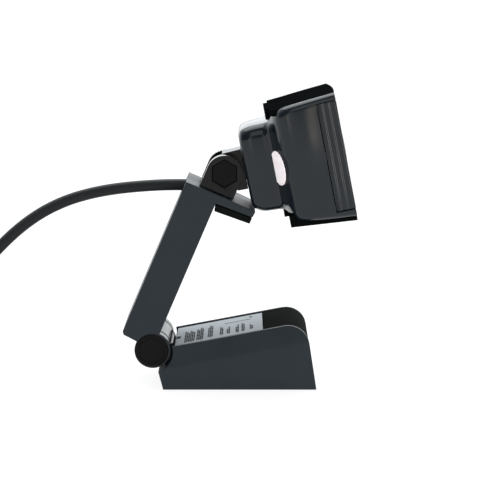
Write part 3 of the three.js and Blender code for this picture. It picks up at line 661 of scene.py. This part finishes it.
def print_marks():
    """Rows of plain bars on the label, one fine rule and two dots. They spell nothing."""
    bars = [(16.4, 25.4, 18.2, 18.8), (0.1, 1.5, 8.8, 12.2), (24.9, 25.9, 21.2, 22.6)]
    for start, end, low, high in PRINT:
        for k in range(round((end - start) / PRINT_ROW)):
            left = start + PRINT_ROW * k
            cut = 1.4 * ((k * 7 + round(start)) % 3)
            at = low + 0.2 * cut
            while at < high - cut:
                long = 1.3 + 0.9 * ((k + round(at * 3)) % 3)
                bars.append((left, left + PRINT_WIDTH, at, min(at + long, high - cut)))
                at += long + PRINT_GAP
    marks = bmesh.new()
    for left, right, low, high in bars:
        corners = ((left, low), (right, low), (right, high), (left, high))
        made = [[marks.verts.new((u, LABEL_NEAR + v, z)) for u, v in corners] for z in (-0.02, 0.012)]
        marks.faces.new(list(reversed(made[0])))
        marks.faces.new(made[1])
        for i in range(4):
            j = (i + 1) % 4
            marks.faces.new((made[0][i], made[0][j], made[1][j], made[1][i]))
    x, z = TOP_START
    inset = 0.05 / math.cos(rad(TOP_SLOPE))
    marks.transform(Matrix.Translation((x, 0, z - inset)) @ Matrix.Rotation(-rad(TOP_SLOPE), 4, "Y"))
    piece("label_print", marks, "foot", INK)


foot_shell = from_cad("foot_shell", "foot", SATIN, 0.4)
second_finish_or_painted_highlight(foot_shell, GLOSS, on_barrel)
from_cad("foot_pad", "foot", RUBBER, 0.35)
from_cad("foot_label", "foot", SILVER_FILM, 0.05, 1)
from_cad("foot_bottom_plate", "foot", SATIN, 0.2)
print_marks()
FOOT_SCREWS = (-18.5, 17)  # along the foot
for i, x in enumerate(FOOT_SCREWS):
    screw(f"foot_screw_{i + 1}", "foot", (x, 0, 0.1), (0, 0, 1), *CASE_SCREW)

# ---------------------------------------------------------------- arm and swivel

arm_shell = from_cad("arm_shell", "arm", SATIN, 0.45)
second_finish_or_painted_highlight(arm_shell, GLOSS, on_barrel)
from_cad("arm_cover", "arm", SATIN, 0.2)
from_cad("lip_pad", "arm", RUBBER, 0.3)
from_cad("cable_grommet", "arm", RUBBER, 0.1, 2)
ARM_SCREWS = (15, 43)  # up the arm
for i, z in enumerate(ARM_SCREWS):
    screw(f"arm_screw_{i + 1}", "arm", (-0.1, 0, z), (-1, 0, 0), *CASE_SCREW)
clevis = from_cad("swivel_clevis", "swivel", SLEEK, 0.3)
# The clevis's upward faces get a lighter, glossier black than the rest: a painted highlight.
second_finish_or_painted_highlight(clevis, POLISHED, painted_highlight_on_clevis_top)
from_cad("swivel_washer", "swivel", STEEL, 0.05, 1)

# ---------------------------------------------------------------- camera head

# The CAD shell's sections: (x, half width, top, bottom, corner radius).
OUTSIDE = [
    (HEAD_BACK, 12.4, 10.8, 12.4, 3.2), (7.3, 13.8, 12.3, 13.3, 3.6), (8.3, 14.2, 12.8, 14, 3.8),
    (9.6, 14.5, 13.1, 14.6, 4), (11, 14.6, 13.3, 14.9, 4), (15, 14.8, 13.4, 15.1, 4),
    (16.6, 15.8, 13.9, 15.3, 4), (17.6, 18.6, 15.2, 16.1, 4), (18.8, 22, 16.7, 17.2, 3.6),
    (20.4, 24.1, 17.6, 18.2, 3), (23, 24.9, 18.1, 18.7, 2.6), (28, 25.2, 18.6, 19.3, 2.4),
    (HEAD_FRONT, 24.7, 19.5, 20.3, 2.4),
]
# The room inside it.
INSIDE = [
    (HEAD_BACK + 1.7, 12.4, 11.1, 11.3, 2.6), (15.6, 13, 11.6, 11.7, 2.6), (17.6, 14.4, 12, 12, 2.6),
    (19.4, 19.4, 13.4, 13.4, 2.4), (21.4, 22.6, 14.8, 14.8, 2), (23.6, 23.3, 15.2, 15.2, 1.6),
    (HEAD_FRONT + 1, 23.1, 16.2, 16.4, 1.6),
]


def eased_sections(sections, step):
    """The sections with more between them, on the monotone cubic curve through each measure."""
    xs = [s[0] for s in sections]
    gaps = [b - a for a, b in zip(xs, xs[1:])]
    curves = []
    for k in (1, 2, 3, 4):
        ys = [s[k] for s in sections]
        rises = [(b - a) / g for a, b, g in zip(ys, ys[1:], gaps)]
        slopes = [rises[0]]
        for left, right in zip(rises, rises[1:]):
            slopes.append(0 if left * right <= 0 else 2 * left * right / (left + right))
        slopes.append(rises[-1])
        curves.append((ys, slopes))
    made = []
    for i, gap in enumerate(gaps):
        count = max(2, round(gap / step))
        for j in range(count + (i == len(gaps) - 1)):
            t = j / count
            section = [xs[i] + gap * t]
            for ys, slopes in curves:
                section.append(
                    ys[i] * (1 + 2 * t) * (1 - t) ** 2 + gap * slopes[i] * t * (1 - t) ** 2
                    + ys[i + 1] * t * t * (3 - 2 * t) + gap * slopes[i + 1] * t * t * (t - 1)
                )
            made.append(section)
    return made


def lofted(sections, corner_steps):
    """A closed solid through rounded rectangles, one for each section."""
    rings = []
    for x, w, top, bottom, r in sections:
        middle, high = (top - bottom) / 2, (top + bottom) / 2
        rings.append([(x, p, q + middle) for p, q in rounded_rectangle(w, high, r, corner_steps)])
    return mesh_of(rings)


def cover_top(x):
    """The height of the black cover's upper face over the head's middle line."""
    rear_height, rise = 17.7, 1.8
    return rear_height + (x - CORE_REAR) / (HEAD_FRONT - CORE_REAR) * rise


def cover_bed(sign):
    """The room for the black cover's upper or lower arm, with its gap all round."""
    low, high = CORE_REAR - 2 * GAP, HEAD_FRONT + 2
    half = CORE_HALF_WIDTH + GAP
    side = [
        (low, cover_top(CORE_REAR) - CORE_WALL - 2 * GAP), (high, cover_top(high) - CORE_WALL - 2 * GAP),
        (high, cover_top(high) + 4), (low, cover_top(CORE_REAR) + 4),
    ]
    return prism([(x, sign * z) for x, z in side], -half, half, "y")


def head_shell():
    """The grey shell, hollow, with beds for the black cover, its lips, the side panels and the neck."""
    outside = lofted(eased_sections(OUTSIDE, 0.7), 8)
    shell = piece("head_rear_shell_finished", outside, "head", GLOSS, smooth=HEAD_SEAM)
    half = CORE_HALF_WIDTH + GAP
    lips = [block((15.9, 17.9), (-12.3, 12.3), z) for z in ((14, 22), (-22, -14))]
    trims = [
        block((SIDE_TRIM["rear"] - GAP, 50), y, (SIDE_TRIM["bottom"] - GAP, SIDE_TRIM["top"] + GAP))
        for y in ((22.3, 30), (-30, -22.3))
    ]
    opening = block((HEAD_FRONT - CORE_WALL - 0.2, 50), (-half, half), (-30, 30))
    neck = block((0, 12), (-4.6, 4.6), (-4.6, 4.6))
    carve(shell, "head", lofted(INSIDE, 4), cover_bed(1), cover_bed(-1), *lips, *trims, opening, neck)
    shell.data.shade_smooth()
    shell.data.set_sharp_from_angle(angle=rad(HEAD_SEAM))
    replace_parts(shell, "head_rear_shell")
    rounding(shell, 0.22, 3, 42)


def side_trim(node, sign):
    """The panel beside the front, with upright shallow flutes."""
    front, edge = HEAD_FRONT + 0.1, 0.8

    def skin(x):
        widest_at, half_width, narrowing = 28, 25.1, 0.5
        return half_width - (x - widest_at) / (HEAD_FRONT - widest_at) * narrowing

    start, end = SIDE_TRIM["rear"], front - edge
    count, flutes, depth = 36, 2.5, 0.36
    face = []
    for k in range(count + 1):
        x = start + (end - start) * k / count
        wave = 0.5 + 0.5 * math.cos(2 * math.pi * flutes * k / count)
        face.append((x, skin(x) - 0.02 - depth * wave))
    turns = [rad(a) for a in (20, 45, 70, 90)]
    corner = [(end + edge * math.sin(a), skin(front) - edge + edge * math.cos(a)) for a in turns]
    back = [(front, 22.6), (front - 1.4, 22.6), (front - 1.4, 23.4), (35, 23.4), (start, skin(start) - 1.3)]
    outline = [(x, sign * y) for x, y in [*face, *corner, *back]]
    levels = 15
    rings = []
    for j in range(levels + 1):
        t = j / levels
        z = SIDE_TRIM["bottom"] + (SIDE_TRIM["top"] - SIDE_TRIM["bottom"]) * t
        bulge = 0.35 * (2 * t - 1) ** 2
        rings.append([(x, y - sign * bulge * (abs(y) > 24), z) for x, y in outline])
    made = piece(node + "_finished", mesh_of(rings), "head", GLOSS, smooth=32)
    rounding(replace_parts(made, node), 0.12, 2, 40)


head_shell()
front_cover = from_cad("head_front_cover", "head", DULL, 0.3)
ahead = FRAMES["head"].to_3x3() @ Vector((1 / MM, 0, 0))
second_finish_or_painted_highlight(front_cover, POLISHED, lambda face: face.normal.dot(ahead) > 0.6)
side_trim("side_trim_near", -1)
side_trim("side_trim_far", 1)
from_cad("head_tongue", "head", SLEEK, 0.35)
from_cad("round_sticker", "head", WHITE_FILM_PAINTED_GLOW, 0.06, 2)


def lens():
    """The ring round the lens window, and the window set back in it."""
    face = HEAD_FRONT + FRONT_BULGE + 0.1
    bezel = [
        (-2.6, 7.4), (-0.6, 7.4), (-0.35, 7.7), (-0.15, 8.3),
        (0, 8.9), (-0.08, 9.35), (-0.3, 9.5), (-2.6, 9.5),
    ]
    pane = [(-1.6, 7.1), (-0.9, 7.1), (-0.7, 6.9), (-0.62, 5.5), (-0.6, 2.5), (-0.6, 0.3)]
    bezel, pane = ([(face + along, radius) for along, radius in profile] for profile in (bezel, pane))
    ring = piece("lens_ring_finished", turned(bezel, "x"), "head", POLISHED, smooth=50)
    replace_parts(ring, "lens_ring")
    window = piece("lens_window_finished", disc(pane, "x"), "head", GLASS, smooth=50)
    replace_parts(window, "lens_window")


lens()

# ---------------------------------------------------------------- CAD nodes that stay as they are

SLOT_MATERIALS = {
    "satin_grey": SATIN, "gloss_grey": GLOSS, "matte_black": MATTE, "gloss_black": POLISHED, "rubber": RUBBER,
    "steel": STEEL, "silver_film": SILVER_FILM, "white_film": NYLON, "lens_glass": GLASS,
    "circuit_board": BOARD, "cord_pvc": CORD,
}
slots = {s["node"]: s["material_slot"] for s in frame["record"]["subparts"]}
for name, node in frame["nodes"].items():
    if not node.hide_render:
        node.data.materials.clear()
        node.data.materials.append(SLOT_MATERIALS[slots[name]])

# ---------------------------------------------------------------- floor and light

FLOOR_HALF, FLOOR_DROP = 30, 0.0002  # metres
FLOOR_CORNERS = ((-1, -1), (1, -1), (1, 1), (-1, 1))
floor_corners = [(x * FLOOR_HALF, y * FLOOR_HALF, -FLOOR_DROP) for x, y in FLOOR_CORNERS]
floor_mesh = bpy.data.meshes.new("floor")
floor_mesh.from_pydata(floor_corners, [], [(0, 1, 2, 3)])
floor = bpy.data.objects.new("floor", floor_mesh)
bpy.context.scene.collection.objects.link(floor)
# A pale sheet that also glows by itself, so that its shadows stay faint.
PAPER = surface(
    "floor_paper", (0.20, 0.20, 0.20), (0.22, 0.22, 0.22), (0.8, 0.9), 300, 0.01,
    Specular_IOR_Level=0.05, Emission_Color=(1, 1, 1, 1), Emission_Strength=0.88,
)
floor_mesh.materials.append(PAPER)


def studio():
    """A room that is bright behind the object and dim in front of it, seen by the camera as plain white."""
    world = bpy.data.worlds.new("studio")
    world.use_nodes = True
    tree = world.node_tree
    background = tree.nodes["Background"]
    background.inputs["Color"].default_value = (0.95, 0.98, 1.0, 1)
    coords = tree.nodes.new("ShaderNodeTexCoord")
    split = tree.nodes.new("ShaderNodeSeparateXYZ")
    tree.links.new(coords.outputs["Generated"], split.inputs["Vector"])
    strength = ranged(tree, split.outputs["Y"], low=0.15, high=1.6, start=-0.3, end=0.5)
    seen = tree.nodes.new("ShaderNodeLightPath").outputs["Is Camera Ray"]
    backdrop = tree.nodes.new("ShaderNodeMix")
    backdrop.inputs["B"].default_value = 1.1
    tree.links.new(seen, backdrop.inputs["Factor"])
    tree.links.new(strength, backdrop.inputs["A"])
    tree.links.new(backdrop.outputs["Result"], background.inputs["Strength"])
    bpy.context.scene.world = world


def softbox(name, power, size, place, aim, colour=(1, 1, 1)):
    """A flat rectangular lamp of the given width and height that faces the point aim."""
    light = bpy.data.lights.new(name, "AREA")
    light.shape = "RECTANGLE"
    light.size, light.size_y = size
    light.energy = power
    light.color = colour
    lamp = bpy.data.objects.new(name, light)
    lamp.location = place
    lamp.rotation_mode = "QUATERNION"
    lamp.rotation_quaternion = (Vector(aim) - Vector(place)).to_track_quat("-Z", "Y")
    bpy.context.scene.collection.objects.link(lamp)


studio()
softbox("top_light", 4.0, (0.9, 0.6), (0.0, 0.25, 0.8), (0, 0, 0.05))
softbox("front_fill", 3.6, (1.2, 0.9), (0.15, -0.85, 0.85), (0, 0, 0.06))
# Low lamps that show as streaks in the glossy head.
WARM = (1.0, 0.88, 0.74)
softbox("left_strip", 0.20, (0.12, 0.30), (-0.26, -1.0, 0.17), (0, 0, 0.17), WARM)
softbox("middle_strip", 0.19, (0.05, 0.30), (0.108, -1.0, 0.17), (0.02, 0, 0.17), WARM)
softbox("right_strip", 1.5, (0.4, 0.3), (0.8, -0.75, 0.17), (0.03, 0, 0.17), (1.0, 0.95, 0.9))

bpy.context.scene.view_settings.view_transform = "Standard"
